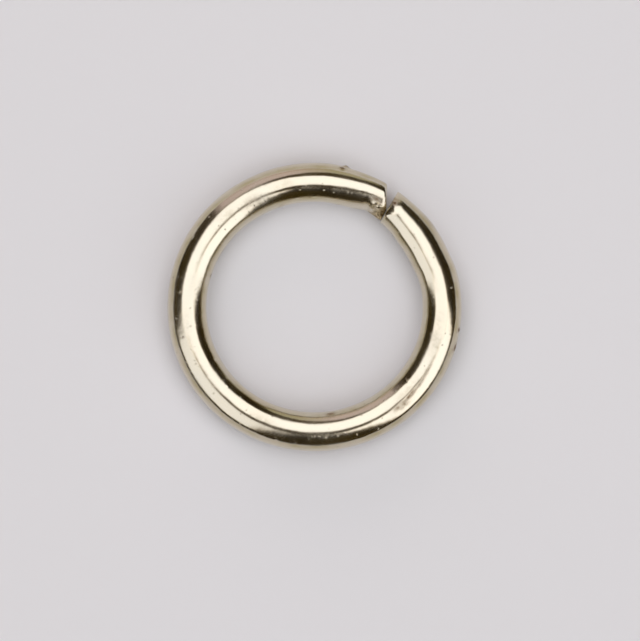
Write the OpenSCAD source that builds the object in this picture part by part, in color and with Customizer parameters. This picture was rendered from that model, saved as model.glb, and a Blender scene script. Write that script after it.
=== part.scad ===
// An open o-ring of plated steel wire: one length of round wire bent to a ring that is a little out of
// round, its two chopped ends left unwelded. It lies flat. The origin is the centre of the eye, +Z is
// the ring's axis, and the gap lies between +X and +Y. Directions are turns from +X.

/* [Wire] */
// Diameter of the round wire
wire_d = 3.5; // [2:0.1:5]

/* [Ring] */
// Clear width of the eye along X
eye_w = 19.1; // [14:0.1:30]
// How much narrower the eye is along Y, where the ring is flattened
squash = 0.5; // [0.1:0.05:1]

/* [Gap] */
// Turn of the wire at which its right end is chopped
gap_at = 55; // [45:1:62]
// Width of the slit where the two ends almost meet
slit_w = 0.12; // [0.05:0.01:0.3]
// How far inside the wire's centre line the slit opens into a notch
mouth_in = 0.55; // [0:0.05:1]
// Lean of the right end's face from square across the wire
right_lean = 5; // [0:1:12]
// Lean of the left end's face from square across the wire, which makes the notch
left_lean = 32; // [15:1:42]

/* [Chopped ends] */
// Length of the bevel that the blade left on top of each end
bevel_l = 0.55; // [0.2:0.05:0.9]
// Slope of that bevel
bevel_slope = 30; // [15:1:45]
// How far outside the slit's mouth the torn lip starts, along the left end's face
lip_from = 0.58; // [0.3:0.02:0.9]
// Slope of the torn lip, which is at the inner corner of the left end
lip_slope = 55; // [45:1:65]

/* [Hidden] */
$fn = 96;

wire_r = wire_d / 2;
// Half widths of the ring at the wire's centre line
half_x = (eye_w + wire_d) / 2;
half_y = half_x - squash / 2;

// The centre line is an oval of four arcs that run smoothly into each other. The centres of two
// neighbouring arcs and the origin make a right triangle whose sides are as 3, 4 and 5, and the arcs
// meet on the line through their centres, whose direction is this one or its mirror image.
meet = [3, 4];
arc_step = squash / 4;
side_x = meet[0] * arc_step;
flat_y = meet[1] * arc_step;
side_r = half_x - side_x;
flat_r = half_y + flat_y;
// How far a sector reaches from its centre, well past the wire
reach = half_x;

// The right end's face crosses the wire's centre line here, and the slit runs beside it to its mouth
right_tip = [side_x, 0] + side_r * heading(gap_at);
right_facing = gap_at + 90 + right_lean;
slit_tip = right_tip + slit_w * heading(right_facing);
mouth = slit_tip - mouth_in / cos(right_lean) * heading(right_facing - 90);
// The left end's face runs from the mouth, and crosses the centre line here
left_facing = gap_at - 90 + left_lean;
left_tip = mouth + mouth_in / cos(left_lean) * heading(left_facing + 90);
// Side of the block that one chop takes away
chop_size = 4 * wire_d;

// Unit vector in a direction
function heading(turn) = [cos(turn), sin(turn)];

// Round wire bent about a centre, between two directions
module wire_arc(centre, bend_r, from, to) {
    intersection() {
        translate(centre)
            rotate_extrude()
                translate([bend_r, 0])
                    circle(r = wire_r);
        linear_extrude(2 * wire_d, center = true)
            polygon([centre, centre + reach * from, centre + reach * to]);
    }
}

// Takes away what lies on the facing side of a sloping plane, near a point of that plane
module chop(at, height, facing, slope) {
    translate([at[0], at[1], height])
        rotate([0, slope, facing])
            translate([-chop_size / 2, -chop_size / 2, 0])
                cube(chop_size);
}

// The right side of the ring, up to the gap: a face across the wire and the blade's bevel above it
module right_side() {
    bevel_tip = right_tip - bevel_l * heading(right_facing);
    difference() {
        wire_arc([side_x, 0], side_r, [meet[0], -meet[1]], [1, 3]);
        chop(right_tip, 0, right_facing, 90);
        chop(bevel_tip, wire_r, right_facing, bevel_slope);
    }
}

// The flattened top, from the gap: the slit's side, the notch's slanting face, its bevel and a torn lip
module top() {
    bevel_tip = left_tip - bevel_l * heading(left_facing);
    lip_tip = mouth + lip_from * heading(left_facing + 90);
    difference() {
        wire_arc([0, -flat_y], flat_r, [4, 3], [-meet[0], meet[1]]);
        chop(slit_tip, 0, right_facing + 180, 90);
        chop(left_tip, 0, left_facing, 90);
        chop(bevel_tip, wire_r, left_facing, bevel_slope);
        chop(lip_tip, wire_r, left_facing - 90, lip_slope);
    }
}

// The left side and the flattened bottom, which are plain bends
module left_side() {
    wire_arc([-side_x, 0], side_r, [-meet[0], meet[1]], -meet);
}

module bottom() {
    wire_arc([0, flat_y], flat_r, -meet, [meet[0], -meet[1]]);
}

// The whole ring is one piece of wire
module wire_ring() {
    color("#c8bfa5") {
        top();
        left_side();
        bottom();
        right_side();
    }
}

wire_ring();
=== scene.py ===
"""The looks of an open o-ring of nickel-plated steel wire, lying flat and seen straight from above.

Lengths are in metres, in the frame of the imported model: the origin is the centre of the eye, +Z is the
ring's axis, and the gap lies between +X and +Y. A turn is an angle from +X about +Z.
"""

import math
from collections import namedtuple
from functools import partial

import bpy
import numpy as np
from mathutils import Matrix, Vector


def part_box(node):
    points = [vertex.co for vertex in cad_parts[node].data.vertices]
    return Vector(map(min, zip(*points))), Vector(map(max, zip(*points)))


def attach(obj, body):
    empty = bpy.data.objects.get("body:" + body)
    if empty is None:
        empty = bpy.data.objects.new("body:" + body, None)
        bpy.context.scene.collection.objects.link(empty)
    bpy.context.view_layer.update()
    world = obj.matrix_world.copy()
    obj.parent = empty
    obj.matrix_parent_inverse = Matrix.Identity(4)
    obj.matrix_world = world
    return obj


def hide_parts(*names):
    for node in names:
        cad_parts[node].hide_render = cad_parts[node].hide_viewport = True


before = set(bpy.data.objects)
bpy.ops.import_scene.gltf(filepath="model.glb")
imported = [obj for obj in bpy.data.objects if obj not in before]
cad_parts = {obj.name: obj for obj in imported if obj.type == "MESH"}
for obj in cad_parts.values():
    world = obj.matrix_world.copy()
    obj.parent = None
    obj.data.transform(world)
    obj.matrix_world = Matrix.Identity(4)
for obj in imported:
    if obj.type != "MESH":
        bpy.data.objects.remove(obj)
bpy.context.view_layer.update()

MM = 0.001

# Driving sizes of the ring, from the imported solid
_, ring_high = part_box("wire_ring")
WIRE_R = ring_high.z
HALF_X = ring_high.x - WIRE_R
HALF_Y = ring_high.y - WIRE_R

# The centre line is an oval of four arcs, whose centres and the origin make triangles with sides as 3, 4, 5
ARC_STEP = (HALF_X - HALF_Y) / 2
SIDE_X = 3 * ARC_STEP
FLAT_Y = 4 * ARC_STEP
SIDE_R = HALF_X - SIDE_X
FLAT_R = HALF_Y + FLAT_Y
# The side arcs and the flat arcs meet where the cosine of the turn is this
ARC_MEET_COSINE = 0.6

# The gap between the two chopped ends. Its slit is narrower than the solid's, so that no light shows in it
GAP_AT = math.radians(55)
SLIT_W = 0.05 * MM
MOUTH_IN = 0.55 * MM
RIGHT_LEAN = math.radians(5)
LEFT_LEAN = math.radians(32)
UPRIGHT = math.radians(90)
# Slope of an upright cut, a hair less than upright so that its tangent stays finite
FACE_SLOPE = UPRIGHT - 1e-4
# Where two cuts meet, they blend over this length
EDGE_SOFTNESS = 0.06 * MM

# Where the solid has bevels, the blade rolled the upper rim of each end over, on the left end most on the
# inside and on the right end least there, and left the lower rim sharper
LEFT_OUTER_RIM = 0.28 * MM
LEFT_INNER_RIM = 0.9 * MM
RIGHT_RIM = 1.6 * MM
RIGHT_INNER_SHARE = 0.35
LOWER_RIM = 0.15 * MM
# A rim goes over from its inner to its outer size between these cosines of the angle round the section,
# and from its lower to its upper size between these sines
LEFT_RIM_SPAN = (-0.6, 0.2)
RIGHT_RIM_SPAN = (-0.65, -0.15)
UPPER_RIM_SPAN = (0.0, 0.65)
# A rolled rim breaks off at an edge, this far from lying flush with the face
LEFT_RIM_EDGE = math.radians(15)
RIGHT_RIM_EDGE = math.radians(50)

# The torn lip at the inner corner of the left end, which starts further in than the solid's, is flatter and
# is twisted a little. Its turn is from the facing of the left end's face
LIP_FROM = 0.22 * MM
LIP_SLOPE = math.radians(48)
LIP_TURN = math.radians(-83)
LIP_GRAIN = 0.28 * MM
LIP_ROUGHNESS = 0.6 * MM
# The steel is torn bare this far round a point of the lip, with a ragged edge
LIP_CENTRE = (5.5 * MM, 8.35 * MM, 0)
LIP_REACH = 0.85 * MM
LIP_RAGGED = 0.9 * MM
LIP_EDGE = 0.15 * MM

# Ripples from drawing and bending the wire, and smaller dents
RIPPLE_SIZE = 2.2 * MM
RIPPLE_HEIGHT = 0.04 * MM
DENT_SIZE = 0.9 * MM
DENT_HEIGHT = 0.012 * MM
RIPPLE_SEED = 4.0
# A noise swings about its middle, and seldom goes over its top
NOISE_MIDDLE = 0.5
NOISE_TOP = 0.8

# Fineness of the ring's mesh
ROWS_ALONG = 900
ROWS_ON_END = 40
ROWS_ON_RIM = 8
SIDES_AROUND = 96
# Points closer than this become one, which closes the seam and the ends
MERGE_DISTANCE = 1e-7

# Inputs of the tree that bends the wire
WIRE_SIZES = {
    "Wire radius": WIRE_R,
    "Side centre": SIDE_X,
    "Side radius": SIDE_R,
    "Flat centre": FLAT_Y,
    "Flat radius": FLAT_R,
    "Left outer rim": LEFT_OUTER_RIM,
    "Left inner rim": LEFT_INNER_RIM,
    "Right rim": RIGHT_RIM,
    "Lower rim": LOWER_RIM,
    "Left rim edge": LEFT_RIM_EDGE,
    "Right rim edge": RIGHT_RIM_EDGE,
    "Edge softness": EDGE_SOFTNESS / FLAT_R,
    "Ripple height": RIPPLE_HEIGHT,
    "Dent height": DENT_HEIGHT,
    "Seed": RIPPLE_SEED,
}

# How the section departs from the round, in shares of the wire's radius at turns in degrees, from the gap
# round to the gap: how far its crest leans outwards, how far its centre stands out, and how far its outer
# and inner sides are pinched in
DEPARTURES = {
    "lean": [(55, 0.2), (62, 0.18), (75, 0.05), (90, -0.05), (120, -0.05), (150, -0.04), (180, -0.07),
             (210, -0.08), (240, -0.05), (270, -0.04), (300, -0.02), (360, -0.03), (385, -0.04), (400, -0.02),
             (415, 0.1)],
    "shift": [(55, -0.06), (72, -0.05), (88, 0.0), (362, 0.0), (374, -0.02), (386, -0.1), (398, -0.1),
              (406, -0.075), (415, -0.05)],
    "outer pinch": [(55, 0.08), (72, 0.05), (88, 0.0), (395, 0.0), (406, 0.06), (415, 0.1)],
    "inner pinch": [(55, 0.21), (58, 0.22), (62.4, 0.26), (66, 0.17), (74, 0.04), (82, 0.0), (395, 0.0),
                    (406, 0.06), (415, 0.1)],
}
# Each list has the left end first and the right end last
LEFT_END = 0
RIGHT_END = -1
# A curve's own height that stands for no departure
CURVE_MIDDLE = 0.5

# Marks on the wire: turn in degrees, place across from -1 inside to 1 outside, length and width in
# millimetres, height in millimetres (a pit is below nought) and how brown and dull the spot is. On some
# stains and scuffs the brown is painted shade, darkening the metal where it shows a lamp
MARKS = {
    "pit": [(192.7, 0.42, 0.1, 0.09, -0.012, 0.5), (205.6, 0.27, 0.08, 0.08, -0.015, 0.4),
            (189, -0.07, 0.08, 0.08, -0.015, 0.4), (220.6, 0.36, 0.08, 0.08, -0.015, 0.4),
            (236.6, -0.08, 0.08, 0.08, -0.015, 0.4)],
    "nodule": [(208, -0.62, 0.13, 0.12, 0.036, 0), (219, -0.58, 0.13, 0.12, 0.036, 0),
               (222.5, -0.42, 0.13, 0.12, 0.036, 0), (150, 0.57, 0.13, 0.12, 0.036, 0),
               (167.5, 0.54, 0.13, 0.12, 0.036, 0), (173.5, 0.48, 0.13, 0.12, 0.036, 0),
               (288, 0.52, 0.13, 0.12, 0.036, 0), (274.5, 0.4, 0.15, 0.14, 0.03, 0),
               (262, 0.55, 0.13, 0.12, 0.036, 0), (268, 0.45, 0.13, 0.12, 0.036, 0),
               (269.5, 0.31, 0.15, 0.14, 0.02, 0), (280, 0.38, 0.11, 0.1, 0.024, 0),
               (254, 0.62, 0.11, 0.1, 0.024, 0), (90, -0.7, 0.13, 0.12, 0.036, 0),
               (99, -0.7, 0.12, 0.12, 0.04, 0), (352.5, -0.53, 0.11, 0.1, 0.024, 0),
               (355, -0.55, 0.11, 0.1, 0.024, 0), (321, -0.3, 0.14, 0.13, 0.012, 0),
               (321.4, -0.52, 0.12, 0.11, 0.02, 0), (347, -0.5, 0.11, 0.1, 0.024, 0)],
    "stain_and_painted_shade": [(278.5, -0.84, 0.5, 0.35, 0, 0.6), (343.5, 0.97, 0.35, 0.45, 0.03, 0.9),
              # The smears at turns 312 to 330 are partly a real olive smear and partly painted shade,
              # darkening a lamp's reflection to look like the dark gap between two lamps
              (351, 0.95, 0.2, 0.3, 0.02, 0.8), (312, 0.25, 0.8, 0.3, -0.02, 0.75),
              (316, 0.22, 0.9, 0.16, -0.02, 0.85), (321, 0.16, 1.3, 0.15, -0.02, 0.8),
              (330, 0.14, 1.2, 0.1, 0, 0.5), (36, 0.97, 0.6, 0.4, 0.03, 0.3),
              (163, -0.95, 0.3, 0.3, 0.02, 0.4), (108, -0.95, 0.3, 0.25, 0.02, 0.3)],
    "burr": [(77.4, 0.97, 0.27, 0.19, 0.2, 1.0), (78.5, 0.86, 0.28, 0.18, 0.08, 1.0)],
    "scuff_and_painted_shade": [(121, -0.13, 1.2, 0.45, 0, 0.22), (347, -0.14, 1.8, 0.4, 0, 0.16),
              (318, -0.1, 1.8, 0.3, 0, 0.12), (104, 0.1, 1.2, 0.4, 0, 0.1),
              (132, 0.0, 1.4, 0.5, 0, 0.12), (245, -0.05, 1.2, 0.35, 0, 0.14),
              # The scuffs at turns 52.6 to 60.6, on the rolled rims of the two ends, are painted shade: they
              # darken the rims' reflections of the left softbox and of the backdrop
              (60.6, -0.27, 0.5, 0.35, 0, 0.6), (58.3, -0.25, 0.35, 0.4, 0, 0.5),
              (52.6, 0.5, 0.3, 0.25, 0, 0.6), (52.7, 0.28, 0.3, 0.25, 0, 0.9)],
    "faint nodule": [(68.2, -0.09, 0.14, 0.13, 0.01, 0), (73.1, -0.37, 0.11, 0.1, 0.012, 0),
                     (71.2, -0.41, 0.11, 0.1, 0.012, 0)],
}
# Crumbs of the torn lip that kept their plate: turn in degrees, distance from the ring's axis, size and
# height in millimetres
CRUMBS = [(57.7, 10.4, 0.3, 0.3), (59.8, 9.96, 0.24, 0.26)]
# Nothing rises above this, which is just under the solid's crest
CREST = 0.998 * WIRE_R

# Kinds of node that are used most, and the settings and sockets of the one that mixes colours
MATH = "ShaderNodeMath"
VECTOR_MATH = "ShaderNodeVectorMath"
MAP_RANGE = "ShaderNodeMapRange"
NOISE = "ShaderNodeTexNoise"
MIX = "ShaderNodeMix"
MIX_COLOURS = {"data_type": "RGBA", "out": 2}
FACTOR = 0
COLOUR_A = 6
COLOUR_B = 7

# A plane that cuts an end: a point on it, that point's height, the turn it faces and its slope from level
EndPlane = namedtuple("EndPlane", "point height facing slope")


def linear(hex_colour):
    """The linear colour, with alpha, of an sRGB hex value such as c8bfa5."""
    channels = [int(hex_colour[i:i + 2], 16) / 255 for i in (0, 2, 4)]
    return [c / 12.92 if c <= 0.04045 else ((c + 0.055) / 1.055) ** 2.4 for c in channels] + [1.0]


def heading(turn):
    """Unit vector in the plane of the ring."""
    return Vector((math.cos(turn), math.sin(turn), 0))


def add_node(tree, kind, *inputs, named=None, out=0, **settings):
    """Adds a node with its settings, fills its inputs with sockets or values, and returns one output."""
    node = tree.nodes.new(kind)
    for name, value in settings.items():
        setattr(node, name, value)
    for key, value in [*enumerate(inputs), *(named or {}).items()]:
        if isinstance(value, bpy.types.NodeSocket):
            tree.links.new(value, node.inputs[key])
        elif value is not None:
            node.inputs[key].default_value = value
    return node.outputs[out] if node.outputs else node


# The ring's wire

def chop_group():
    """A plane that cuts bent wire: the angle from the plane's facing to the cut, for a place in the wire."""
    tree = bpy.data.node_groups.new("chop", "GeometryNodeTree")
    for name in ["Across", "Up", "Bend radius", "Slope", "Height", "Reach"]:
        tree.interface.new_socket(name, in_out="INPUT", socket_type="NodeSocketFloat")
    tree.interface.new_socket("Turn", in_out="OUTPUT", socket_type="NodeSocketFloat")
    new = partial(add_node, tree)
    given = tree.nodes.new("NodeGroupInput").outputs
    slope_tan = new(MATH, given["Slope"], operation="TANGENT")
    drop = new(MATH, given["Up"], given["Height"], operation="SUBTRACT")
    run = new(MATH, drop, slope_tan, operation="DIVIDE")
    reach = new(MATH, given["Reach"], run, operation="SUBTRACT")
    radius = new(MATH, given["Bend radius"], given["Across"], operation="ADD")
    cosine = new(MATH, reach, radius, operation="DIVIDE")
    clipped = new("ShaderNodeClamp", cosine, -1.0, 1.0)
    turn = new(MATH, clipped, operation="ARCCOSINE")
    new("NodeGroupOutput", turn)
    return tree


def end_planes():
    """The planes that cut the left end, by name, and the one that cuts the right end."""
    right_facing = GAP_AT + UPRIGHT + RIGHT_LEAN
    left_facing = GAP_AT - UPRIGHT + LEFT_LEAN
    right_tip = Vector((SIDE_X, 0, 0)) + SIDE_R * heading(GAP_AT)
    slit_tip = right_tip + SLIT_W * heading(right_facing)
    mouth = slit_tip - MOUTH_IN / math.cos(RIGHT_LEAN) * heading(right_facing - UPRIGHT)
    left_tip = mouth + MOUTH_IN / math.cos(LEFT_LEAN) * heading(left_facing + UPRIGHT)
    lip_tip = mouth + LIP_FROM * heading(left_facing + UPRIGHT)
    left = {
        "slit": EndPlane(slit_tip, 0, right_facing - math.pi, FACE_SLOPE),
        "face": EndPlane(left_tip, 0, left_facing, FACE_SLOPE),
        "lip": EndPlane(lip_tip, WIRE_R, left_facing + LIP_TURN, LIP_SLOPE),
    }
    return left, EndPlane(right_tip, 0, right_facing, FACE_SLOPE)


def wire_ring_tree(material):
    """Round wire bent to the oval, from its left end round to its right end, each end cut by its planes.

    A grid is wrapped round the wire. Its first and last rows close the ends, the next few round the rims.
    """
    tree = bpy.data.node_groups.new("bent_wire", "GeometryNodeTree")
    for name in WIRE_SIZES:
        tree.interface.new_socket(name, in_out="INPUT", socket_type="NodeSocketFloat")
    tree.interface.new_socket("Ring", in_out="OUTPUT", socket_type="NodeSocketGeometry")
    new = partial(add_node, tree)
    given = tree.nodes.new("NodeGroupInput").outputs
    chop = chop_group()

    # The grid, with its rows along the wire and its columns round it
    before_side = ROWS_ON_END + ROWS_ON_RIM
    rows = ROWS_ALONG + 2 * before_side
    last_row = float(rows - 1)
    grid = new("GeometryNodeMeshGrid", 1.0, 1.0, rows, SIDES_AROUND + 1)
    spot = new("GeometryNodeInputPosition")
    split = new("ShaderNodeSeparateXYZ", spot).node.outputs
    row = new(MATH, split["X"], last_row, last_row / 2, operation="MULTIPLY_ADD")
    around = new(MATH, split["Y"], math.tau, UPRIGHT, operation="MULTIPLY_ADD")
    rows_after = new(MATH, last_row, row, operation="SUBTRACT")
    from_end = new(MATH, row, rows_after, operation="MINIMUM")
    end_part = new(MATH, from_end, float(ROWS_ON_END), operation="DIVIDE")
    end_share = new(MATH, end_part, 1.0, operation="MINIMUM")
    rim_rows = new(MATH, from_end, float(ROWS_ON_END), operation="SUBTRACT")
    rim_part = new(MATH, rim_rows, float(ROWS_ON_RIM), operation="DIVIDE")
    rim_share = new("ShaderNodeClamp", rim_part, 0.0, 1.0)
    side_share = new(MAP_RANGE, row, float(before_side), last_row - before_side)

    # Where a point lies in the wire's section, with the rim rolled over above
    around_cosine = new(MATH, around, operation="COSINE")
    around_sine = new(MATH, around, operation="SINE")
    near_left = new(MATH, row, rows / 2, operation="LESS_THAN")
    left_rim = new(MAP_RANGE, around_cosine, *LEFT_RIM_SPAN, given["Left inner rim"], given["Left outer rim"])
    right_share = new(MAP_RANGE, around_cosine, *RIGHT_RIM_SPAN, RIGHT_INNER_SHARE, 1.0,
                      interpolation_type="SMOOTHSTEP")
    right_rim = new(MATH, given["Right rim"], right_share, operation="MULTIPLY")
    upper_rim = new(MAP_RANGE, near_left, 0.0, 1.0, right_rim, left_rim)
    rim = new(MAP_RANGE, around_sine, *UPPER_RIM_SPAN, given["Lower rim"], upper_rim,
              interpolation_type="SMOOTHSTEP")
    rim_edge = new(MAP_RANGE, near_left, 0.0, 1.0, given["Right rim edge"], given["Left rim edge"])
    rim_turn = new(MAP_RANGE, rim_share, 0.0, 1.0, rim_edge, UPRIGHT)
    edge_sine = new(MATH, rim_edge, operation="SINE")
    edge_cosine = new(MATH, rim_edge, operation="COSINE")
    turn_sine = new(MATH, rim_turn, operation="SINE")
    turn_cosine = new(MATH, rim_turn, operation="COSINE")
    within_rim = new(MATH, given["Wire radius"], rim, operation="SUBTRACT")
    flat_r = new(MATH, rim, edge_sine, within_rim, operation="MULTIPLY_ADD")
    face_r = new(MATH, flat_r, end_share, operation="MULTIPLY")
    rim_rise = new(MATH, turn_sine, edge_sine, operation="SUBTRACT")
    section_r = new(MATH, rim, rim_rise, face_r, operation="MULTIPLY_ADD")
    rim_run = new(MATH, edge_cosine, turn_cosine, operation="SUBTRACT")
    inset = new(MATH, rim, rim_run, operation="MULTIPLY")
    square_across = new(MATH, section_r, around_cosine, operation="MULTIPLY")
    up = new(MATH, section_r, around_sine, operation="MULTIPLY")

    def cut(plane, centre, bend_radius, end):
        """The angle from a plane's facing to where it cuts the arc, with the departures of that end."""
        reach = (plane.point - centre).dot(heading(plane.facing))
        lean, shift, pinch = [DEPARTURES[name][end][1] for name in ("lean", "shift", "outer pinch")]
        shifted = new(MATH, square_across, 1 - pinch, shift * WIRE_R, operation="MULTIPLY_ADD")
        leaning = new(MATH, up, lean, shifted, operation="MULTIPLY_ADD")
        return new("GeometryNodeGroup", node_tree=chop, named={
            "Across": leaning, "Up": up, "Bend radius": given[bend_radius],
            "Slope": plane.slope, "Height": plane.height, "Reach": reach})

    # Where the planes stop the wire: at the left end the cut that goes furthest round counts
    left_planes, right_plane = end_planes()
    flat_centre = Vector((0, -FLAT_Y, 0))
    side_centre = Vector((SIDE_X, 0, 0))
    left_cuts = {}
    for name, plane in left_planes.items():
        left_angle = cut(plane, flat_centre, "Flat radius", LEFT_END)
        left_cuts[name] = new(MATH, plane.facing, left_angle, operation="ADD")
    right_angle = cut(right_plane, side_centre, "Side radius", RIGHT_END)
    right_cut = new(MATH, right_plane.facing, right_angle, operation="SUBTRACT")
    softness = given["Edge softness"]
    plain_cut = new(MATH, left_cuts["slit"], left_cuts["face"], softness, operation="SMOOTH_MAX")
    section = new("ShaderNodeCombineXYZ", square_across, up, 0.0)
    crumbs = new(NOISE, named={"Vector": section, "Scale": 1 / LIP_GRAIN, "Detail": 3.0})
    crumb_swing = new(MATH, crumbs, NOISE_MIDDLE, operation="SUBTRACT")
    crumbled = new(MATH, crumb_swing, LIP_ROUGHNESS / FLAT_R, left_cuts["lip"], operation="MULTIPLY_ADD")
    left_cut = new(MATH, plain_cut, crumbled, softness, operation="SMOOTH_MAX")
    left_inset = new(MATH, inset, given["Flat radius"], operation="DIVIDE")
    right_inset = new(MATH, inset, given["Side radius"], operation="DIVIDE")
    first = new(MATH, left_cut, left_inset, operation="ADD")
    last = new(MATH, right_cut, right_inset, operation="SUBTRACT")
    last_round = new(MATH, last, math.tau, operation="ADD")
    turn = new(MAP_RANGE, side_share, 0.0, 1.0, first, last_round, clamp=False)

    # How the section departs from the round there
    way_round = new(MAP_RANGE, turn, GAP_AT, GAP_AT + math.tau)
    departs = {}
    for name, places in DEPARTURES.items():
        curve = new("ShaderNodeFloatCurve", None, way_round).node
        points = curve.mapping.curves[0].points
        while len(points) < len(places):
            points.new(CURVE_MIDDLE, CURVE_MIDDLE)
        for point, (degrees, share) in zip(points, places):
            point.location = ((math.radians(degrees) - GAP_AT) / math.tau, share + CURVE_MIDDLE)
            point.handle_type = "AUTO_CLAMPED"
        curve.mapping.update()
        departs[name] = new(MATH, curve.outputs[0], CURVE_MIDDLE, operation="SUBTRACT")
    outer_side = new(MATH, square_across, 0.0, operation="GREATER_THAN")
    pinch = new(MAP_RANGE, outer_side, 0.0, 1.0, departs["inner pinch"], departs["outer pinch"], clamp=False)
    width_share = new(MATH, 1.0, pinch, operation="SUBTRACT")
    narrow = new(MATH, square_across, width_share, operation="MULTIPLY")
    stood_out = new(MATH, departs["shift"], given["Wire radius"], narrow, operation="MULTIPLY_ADD")
    across = new(MATH, up, departs["lean"], stood_out, operation="MULTIPLY_ADD")

    # The oval's arc at that turn, and the point on the bent wire
    cosine = new(MATH, turn, operation="COSINE")
    sine = new(MATH, turn, operation="SINE")
    cosine_size = new(MATH, cosine, operation="ABSOLUTE")
    cosine_sign = new(MATH, cosine, operation="SIGN")
    sine_sign = new(MATH, sine, operation="SIGN")
    at_side = new(MATH, cosine_size, ARC_MEET_COSINE, operation="GREATER_THAN")
    once_round = new(MATH, turn, math.tau, operation="GREATER_THAN")
    on_side = new(MATH, at_side, once_round, operation="MAXIMUM")
    on_flat = new(MATH, 1.0, on_side, operation="SUBTRACT")
    side_x = new(MATH, cosine_sign, given["Side centre"], operation="MULTIPLY")
    flat_y = new(MATH, sine_sign, given["Flat centre"], operation="MULTIPLY")
    centre_x = new(MATH, side_x, on_side, operation="MULTIPLY")
    centre_y = new(MATH, flat_y, on_flat, operation="MULTIPLY")
    bend_r = new(MAP_RANGE, on_side, 0.0, 1.0, given["Flat radius"], given["Side radius"])
    point_r = new(MATH, bend_r, across, operation="ADD")
    x = new(MATH, point_r, cosine, centre_x, operation="MULTIPLY_ADD")
    from_centre_y = new(MATH, point_r, sine, operation="MULTIPLY")
    y = new(MATH, from_centre_y, centre_y, operation="SUBTRACT")
    place = new("ShaderNodeCombineXYZ", x, y, up)

    # What the material reads: the place in the straight wire, and where the lip is torn
    along = new(MATH, turn, given["Flat radius"], operation="MULTIPLY")
    straight = new("ShaderNodeCombineXYZ", square_across, up, along)
    seen_place = new("ShaderNodeCombineXYZ", x, y, 0.0)
    from_lip = new(VECTOR_MATH, seen_place, LIP_CENTRE, operation="DISTANCE", out="Value")
    tears = new(NOISE, named={"Vector": place, "Scale": 1 / LIP_GRAIN, "Detail": 2.0})
    tear_swing = new(MATH, tears, NOISE_MIDDLE, operation="SUBTRACT")
    ragged = new(MATH, tear_swing, LIP_RAGGED, from_lip, operation="MULTIPLY_ADD")
    torn = new(MAP_RANGE, ragged, LIP_REACH, LIP_REACH - LIP_EDGE)
    torn_end = new(MATH, torn, near_left, operation="MULTIPLY")
    stored = grid
    for name, kind, value in [("straight", "FLOAT_VECTOR", straight), ("torn", "FLOAT", torn_end)]:
        stored = new("GeometryNodeStoreNamedAttribute", stored, None, name, value, data_type=kind)
    bent = new("GeometryNodeSetPosition", stored, None, place)

    # Ripples and dents, which go inwards
    merged = new("GeometryNodeMergeByDistance", bent, None, MERGE_DISTANCE)
    normal = new("GeometryNodeInputNormal")
    here = new("GeometryNodeInputPosition")
    swings = []
    for height, size in [(given["Ripple height"], RIPPLE_SIZE), (given["Dent height"], DENT_SIZE)]:
        noise = new(NOISE, noise_dimensions="4D", named={
            "Vector": here, "W": given["Seed"], "Scale": 1 / size, "Detail": 1.0})
        inwards = new(MATH, noise, NOISE_TOP, operation="SUBTRACT")
        swings.append(new(MATH, inwards, height, operation="MULTIPLY"))
    heave = new(MATH, *swings, operation="ADD")
    push = new(VECTOR_MATH, normal, named={"Scale": heave}, operation="SCALE")
    rippled = new("GeometryNodeSetPosition", merged, None, None, push)
    smooth = new("GeometryNodeSetShadeSmooth", rippled)
    real = new("GeometryNodeRealizeInstances", smooth)
    coated = new("GeometryNodeSetMaterial", real, None, material)
    new("NodeGroupOutput", coated)
    return tree


def mark_wire(mesh):
    """Presses the marks into the wire and raises those that stand up, and notes how brown each point is, some
    of it painted shade.
    """
    count = len(mesh.vertices)
    places = np.zeros(3 * count, np.float32)
    normals = np.zeros(3 * count, np.float32)
    straight = np.zeros(3 * count, np.float32)
    torn = np.zeros(count, np.float32)
    mesh.vertices.foreach_get("co", places)
    mesh.vertices.foreach_get("normal", normals)
    mesh.attributes["straight"].data.foreach_get("vector", straight)
    mesh.attributes["torn"].data.foreach_get("value", torn)
    across, up, _ = straight.reshape(-1, 3).T
    around = np.arctan2(up, across)
    x, y, z = places.reshape(-1, 3).T
    turns = np.arctan2(y, x)
    stain_and_painted_shade = np.zeros(count, np.float32)
    heights = np.zeros(count, np.float32)
    for marks in MARKS.values():
        for turn, side, length, width, height, brown_and_painted_shade in marks:
            off_turn = (turns - math.radians(turn) + math.pi) % math.tau - math.pi
            off_along = off_turn * FLAT_R / (length * MM)
            off_around = (around - math.acos(side)) * WIRE_R / (width * MM)
            shape = np.exp(-off_along ** 2 - off_around ** 2)
            heights += height * MM * shape
            stain_and_painted_shade = np.maximum(stain_and_painted_shade, brown_and_painted_shade * shape)
    places += np.repeat(heights, 3) * normals
    for turn, distance, size, height in CRUMBS:
        centre = distance * MM * heading(math.radians(turn))
        spread = ((x - centre.x) ** 2 + (y - centre.y) ** 2) / (size * MM) ** 2
        shape = np.exp(-spread) * (z > 0)
        torn *= 1 - shape
        z += height * MM * shape
    np.minimum(z, CREST, out=z)
    mesh.vertices.foreach_set("co", places)
    mesh.attributes["torn"].data.foreach_set("value", torn)
    mesh.attributes.new("stain_and_painted_shade", "FLOAT", "POINT").data.foreach_set("value", stain_and_painted_shade)
    mesh.update()


def bent_wire(material):
    """The ring as a plain closed mesh, made by the tree and then marked."""
    tree = wire_ring_tree(material)
    seed_object = bpy.data.objects.new("wire_seed", bpy.data.meshes.new("wire_seed"))
    bpy.context.scene.collection.objects.link(seed_object)
    modifier = seed_object.modifiers.new("bent_wire", "NODES")
    modifier.node_group = tree
    for item in tree.interface.items_tree:
        if item.in_out == "INPUT":
            modifier[item.identifier] = WIRE_SIZES[item.name]
    bpy.context.view_layer.update()
    evaluated = seed_object.evaluated_get(bpy.context.evaluated_depsgraph_get())
    mesh = bpy.data.meshes.new_from_object(evaluated)
    bpy.data.objects.remove(seed_object)
    mark_wire(mesh)
    wire = bpy.data.objects.new("plated_wire_ring", mesh)
    bpy.context.scene.collection.objects.link(wire)
    return wire


# Materials

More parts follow.
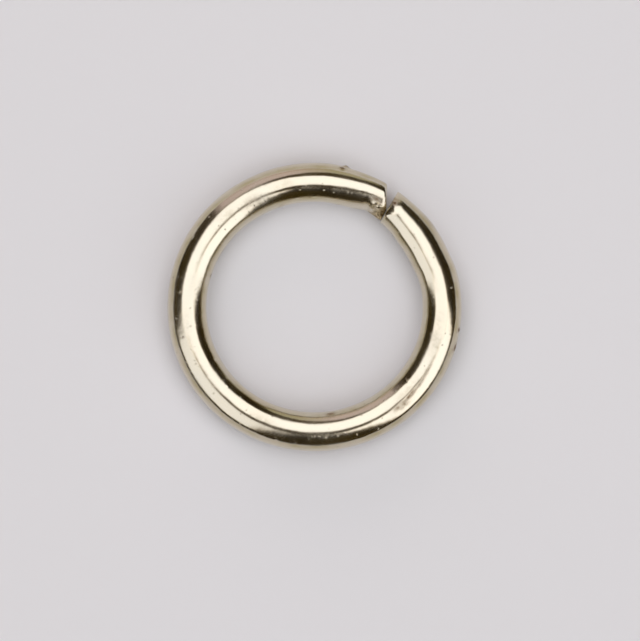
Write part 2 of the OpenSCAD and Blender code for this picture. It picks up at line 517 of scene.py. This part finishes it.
def nickel_plate():
    """Bright nickel plate on drawn steel wire: a warm mirror with faint lengthwise drawing lines, small
    nodules and brown specks, a thin yellow film on the flanks, dull brown stains and scuffs, some of them
    painted shade over reflected lamps, and bare torn steel on the lip."""
    material = bpy.data.materials.new("bright_nickel_plate")
    material.use_nodes = True
    tree = material.node_tree
    tree.nodes.clear()
    new = partial(add_node, tree)
    straight = new("ShaderNodeAttribute", attribute_name="straight", out="Vector")
    torn = new("ShaderNodeAttribute", attribute_name="torn", out="Fac")
    stain_and_painted_shade_depth = new("ShaderNodeAttribute", attribute_name="stain_and_painted_shade", out="Fac")

    # Drawing lines, many times as long as they are apart. Real ones are finer, and these are drawn coarser
    # so that they show
    line_gap = 0.3 * MM
    line_length = 8 * MM
    stretch = (1 / line_gap, 1 / line_gap, 1 / line_length)
    line_place = new(VECTOR_MATH, straight, stretch, operation="MULTIPLY")
    lines = new(NOISE, named={"Vector": line_place, "Scale": 1.0, "Detail": 2.0})

    # Nodules of the plate, in some of the cells, with their size in shares of a cell
    cell = 0.6 * MM
    nodule_foot = 0.17
    nodule_top = 0.05
    empty_cells = 0.55
    cells = new("ShaderNodeTexVoronoi", named={"Vector": straight, "Scale": 1 / cell}).node.outputs
    dot = new(MAP_RANGE, cells["Distance"], nodule_foot, nodule_top, interpolation_type="SMOOTHSTEP")
    chance = new("ShaderNodeSeparateColor", cells["Color"])
    chosen = new(MATH, chance, empty_cells, operation="GREATER_THAN")
    nodule = new(MATH, dot, chosen, operation="MULTIPLY")

    # Orange-peel grain of the plate, stronger in patches of a few millimetres
    patch_size = 4 * MM
    peel_size = 0.5 * MM
    patch_span = (0.44, 0.62)
    weak_patch = 0.12
    drift = new(NOISE, named={"Vector": straight, "Scale": 1 / patch_size, "Detail": 2.0})
    peel = new(NOISE, named={"Vector": straight, "Scale": 1 / peel_size, "Detail": 3.0})
    patch = new(MAP_RANGE, drift, *patch_span, weak_patch, 1.0)
    grain = new(MATH, peel, patch, operation="MULTIPLY")

    # Stains, and the painted shade among them, are mottled by the same grain
    mottle_span = (0.38, 0.62)
    thin_stain = 0.55
    thick_stain = 1.4
    mottle = new(MAP_RANGE, peel, *mottle_span, thin_stain, thick_stain)
    stain_and_painted_shade = new(MATH, stain_and_painted_shade_depth, mottle, operation="MULTIPLY", use_clamp=True)

    # Torn steel breaks in grains, drawn a quarter of a millimetre wide so that they show
    break_size = 0.25 * MM
    crumb_span = (0.38, 0.62)
    break_grain = new(NOISE, named={"Vector": straight, "Scale": 1 / break_size, "Detail": 3.0})
    broken = new(MATH, break_grain, torn, operation="MULTIPLY")
    crumb = new(MAP_RANGE, break_grain, *crumb_span)

    # The yellow film sets in below the crest, thins out again lower down, is patchy, and is a little
    # thinner on the inside of the ring
    film_size = 1.6 * MM
    no_film_z = 0.8 * WIRE_R
    full_film_z = 0.64 * WIRE_R
    thinning_z = 0.6 * WIRE_R
    thinned_z = 0.3 * WIRE_R
    thinned_share = 0.1
    inside_share = 0.9
    side_step = 0.3 * WIRE_R
    film_span = (0.35, 0.65)
    thin_film = 0.25
    thick_film = 0.75
    film = new(NOISE, named={"Vector": straight, "Scale": 1 / film_size, "Detail": 5.0})
    height = new("ShaderNodeSeparateXYZ", straight, out="Y")
    outside = new("ShaderNodeSeparateXYZ", straight, out="X")
    low = new(MAP_RANGE, height, no_film_z, full_film_z)
    kept = new(MAP_RANGE, height, thinned_z, thinning_z, thinned_share, 1.0)
    low_film = new(MATH, low, kept, operation="MULTIPLY")
    outer_share = new(MAP_RANGE, outside, -side_step, side_step, inside_share, 1.0)
    film_share = new(MAP_RANGE, film, *film_span, thin_film, thick_film)
    thick = new(MATH, film_share, outer_share, operation="MULTIPLY")
    tarnish = new(MATH, low_film, thick, operation="MULTIPLY")

    # The colours, from the plate up
    speck_brown = 0.5
    plate = new(MIX, **MIX_COLOURS, named={
        FACTOR: drift, COLOUR_A: linear("dacfbb"), COLOUR_B: linear("d8d2c4")})
    filmed = new(MIX, **MIX_COLOURS, named={FACTOR: tarnish, COLOUR_A: plate, COLOUR_B: linear("b3a577")})
    speckled = new(MATH, nodule, patch, operation="MULTIPLY")
    # Brown specks and stains darken the plate towards one brown; on some stains and scuffs that brown is
    # painted shade
    brown_and_painted_shade = new(MATH, speckled, speck_brown, stain_and_painted_shade, operation="MULTIPLY_ADD")
    spotted_and_painted_shade = new(MIX, **MIX_COLOURS, named={FACTOR: brown_and_painted_shade, COLOUR_A: filmed, COLOUR_B: linear("6a4e2c")})
    steel = new(MIX, **MIX_COLOURS, named={
        FACTOR: crumb, COLOUR_A: linear("6e5a38"), COLOUR_B: linear("d6c49c")})
    colour = new(MIX, **MIX_COLOURS, named={FACTOR: torn, COLOUR_A: spotted_and_painted_shade, COLOUR_B: steel})

    # How dull each of them is
    wear_span = (0.35, 0.7)
    bright_plate = 0.14
    worn_plate = 0.22
    stained = 0.5
    torn_steel = 0.45
    plate_dull = new(MAP_RANGE, drift, *wear_span, bright_plate, worn_plate)
    stain_dull = new(MAP_RANGE, stain_and_painted_shade, 0.0, 1.0, plate_dull, stained)
    roughness = new(MAP_RANGE, torn, 0.0, 1.0, stain_dull, torn_steel)

    # The reliefs, each with its depth
    reliefs = [(lines, 0.0025 * MM), (grain, 0.009 * MM), (nodule, 0.014 * MM), (broken, 0.06 * MM)]
    bump = None
    for relief, depth in reliefs:
        bump = new("ShaderNodeBump", named={
            "Strength": 1.0, "Distance": depth, "Height": relief, "Normal": bump})
    metal = new("ShaderNodeBsdfPrincipled", named={
        "Base Color": colour, "Metallic": 1.0, "Roughness": roughness, "Normal": bump})
    new("ShaderNodeOutputMaterial", metal)
    return material


def studio_paper():
    """Matt white paper for the floor: plain and pale, with no gloss."""
    material = bpy.data.materials.new("studio_paper")
    material.use_nodes = True
    shader = material.node_tree.nodes["Principled BSDF"]
    shader.inputs["Base Color"].default_value = linear("e6e5ea")
    shader.inputs["Roughness"].default_value = 0.9
    shader.inputs["Specular IOR Level"].default_value = 0.1
    return material


def backdrop_paper():
    """Beige paper behind the ring, pinker on the left and yellower on the right. It is evenly lit, so that
    the metal shows it as pale as a camera would, and it throws more light than that on the floor."""
    pink_x = -0.12
    yellow_x = 0.1
    strength_seen = 1.0
    strength_thrown = 3.0
    material = bpy.data.materials.new("backdrop_paper")
    material.use_nodes = True
    tree = material.node_tree
    tree.nodes.clear()
    new = partial(add_node, tree)
    spot = new("ShaderNodeTexCoord", out="Object")
    sideways = new("ShaderNodeSeparateXYZ", spot)
    to_right = new(MAP_RANGE, sideways, pink_x, yellow_x)
    tone = new(MIX, **MIX_COLOURS, named={
        FACTOR: to_right, COLOUR_A: linear("cdbebb"), COLOUR_B: linear("b4ae92")})
    ray = new("ShaderNodeLightPath").node.outputs
    plain_or_glossy = new(MATH, ray["Is Camera Ray"], ray["Is Glossy Ray"], operation="MAXIMUM")
    seen = new(MATH, plain_or_glossy, ray["Is Transmission Ray"], operation="MAXIMUM")
    strength = new(MAP_RANGE, seen, 0.0, 1.0, strength_thrown, strength_seen)
    pale = new("ShaderNodeEmission", tone, strength)
    new("ShaderNodeOutputMaterial", pale)
    return material


def lamp_cloth(name, strength):
    """The lit front cloth of a softbox, which turns warmer and fades out towards its rounded edge."""
    corner = 0.3
    fade = 0.18
    material = bpy.data.materials.new(name)
    material.use_nodes = True
    tree = material.node_tree
    tree.nodes.clear()
    new = partial(add_node, tree)
    place = new("ShaderNodeUVMap", uv_map="cloth")
    centred = new(VECTOR_MATH, place, (2, 2, 0), (-1, -1, 0), operation="MULTIPLY_ADD")
    size = new(VECTOR_MATH, centred, operation="ABSOLUTE")
    beyond = new(VECTOR_MATH, size, (1 - corner, 1 - corner, 0), operation="SUBTRACT")
    over = new(VECTOR_MATH, beyond, (0, 0, 0), operation="MAXIMUM")
    edge = new(VECTOR_MATH, over, operation="LENGTH", out="Value")
    lit = new(MAP_RANGE, edge, corner, corner - fade, interpolation_type="SMOOTHSTEP")
    tone = new(MIX, **MIX_COLOURS, named={
        FACTOR: lit, COLOUR_A: linear("ffdca0"), COLOUR_B: linear("ffffff")})
    glow = new("ShaderNodeEmission", tone, strength)
    clear = new("ShaderNodeBsdfTransparent")
    shown = new("ShaderNodeMixShader", lit, clear, glow)
    new("ShaderNodeOutputMaterial", shown)
    return material


# The stage

def staged(name, points, faces, material):
    """A stage piece from its points and faces."""
    mesh = bpy.data.meshes.new(name)
    mesh.from_pydata([tuple(p) for p in points], [], faces)
    mesh.materials.append(material)
    piece = bpy.data.objects.new(name, mesh)
    bpy.context.scene.collection.objects.link(piece)
    return piece


def softbox(name, corners, distance, strength):
    """A lamp with four corners, each given by where it is seen on a ceiling one metre above the ring."""
    steps = 10
    ends = [distance * Vector((x, y, 1)).normalized() for x, y in corners]
    points = []
    cloth_places = []
    for i in range(steps + 1):
        for j in range(steps + 1):
            u = i / steps
            v = j / steps
            near = ends[0].lerp(ends[1], u)
            far = ends[3].lerp(ends[2], u)
            points.append(near.lerp(far, v))
            cloth_places.append((u, v))
    faces = []
    for i in range(steps):
        for j in range(steps):
            corner = i * (steps + 1) + j
            faces.append((corner, corner + 1, corner + steps + 2, corner + steps + 1))
    lamp = staged(name, points, faces, lamp_cloth(name + "_cloth", strength))
    layer = lamp.data.uv_layers.new(name="cloth")
    for loop in lamp.data.loops:
        layer.data[loop.index].uv = cloth_places[loop.vertex_index]
    lamp.visible_camera = False


def paper_floor_and_board(floor_material, board_material):
    """A wide flat floor, and a board with a sloping top behind the ring."""
    floor_z = -WIRE_R
    half_floor = 3.0
    board_y = 0.75
    board_foot = floor_z + MM
    left_x = -0.68
    left_top = 0.8
    right_x = 0.33
    right_top = 0.2
    floor = [(-half_floor, -half_floor, floor_z), (half_floor, -half_floor, floor_z),
             (half_floor, half_floor, floor_z), (-half_floor, half_floor, floor_z)]
    staged("paper_floor", floor, [(0, 1, 2, 3)], floor_material)
    board = [(left_x, board_y, board_foot), (right_x, board_y, board_foot), (right_x, board_y, right_top),
             (left_x, board_y, left_top)]
    staged("paper_backdrop", board, [(0, 1, 2, 3)], board_material)


def camera_above():
    """A long lens straight above the ring."""
    data = bpy.data.cameras.new("camera")
    data.lens = 200
    data.sensor_width = 36
    camera = bpy.data.objects.new("camera", data)
    camera.location = (0.487 * MM, -1.196 * MM, 315.5 * MM)
    bpy.context.scene.collection.objects.link(camera)
    bpy.context.scene.camera = camera


def dark_room():
    """The unlit studio round the lamps, darker in some places than in others."""
    world = bpy.data.worlds.new("dark_room")
    world.use_nodes = True
    tree = world.node_tree
    new = partial(add_node, tree)
    clutter_span = (0.35, 0.65)
    clutter = new(NOISE, named={"Scale": 3.0, "Detail": 3.0})
    patch = new(MAP_RANGE, clutter, *clutter_span)
    gloom = new(MIX, **MIX_COLOURS, named={
        FACTOR: patch, COLOUR_A: linear("1f1603"), COLOUR_B: linear("403413")})
    tree.links.new(gloom, tree.nodes["Background"].inputs["Color"])
    bpy.context.scene.world = world


bpy.context.scene.view_settings.view_transform = "Standard"
camera_above()
dark_room()
paper_floor_and_board(studio_paper(), backdrop_paper())
softbox("overhead_softbox", [(-0.8, -0.17), (0.76, -0.17), (0.76, 1.0), (-0.8, 1.0)],
        distance=0.62, strength=1.55)
softbox("left_softbox", [(-0.44, 0.04), (-0.08, -0.46), (-2.25, -4.93), (-5.6, -1.19)],
        distance=0.7, strength=1.2)
softbox("right_softbox", [(0.02, -0.46), (0.54, 0.14), (5.5, -1.05), (3.3, -4.7)],
        distance=0.7, strength=1.6)

ring = bent_wire(nickel_plate())
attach(ring, "root")
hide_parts("wire_ring")
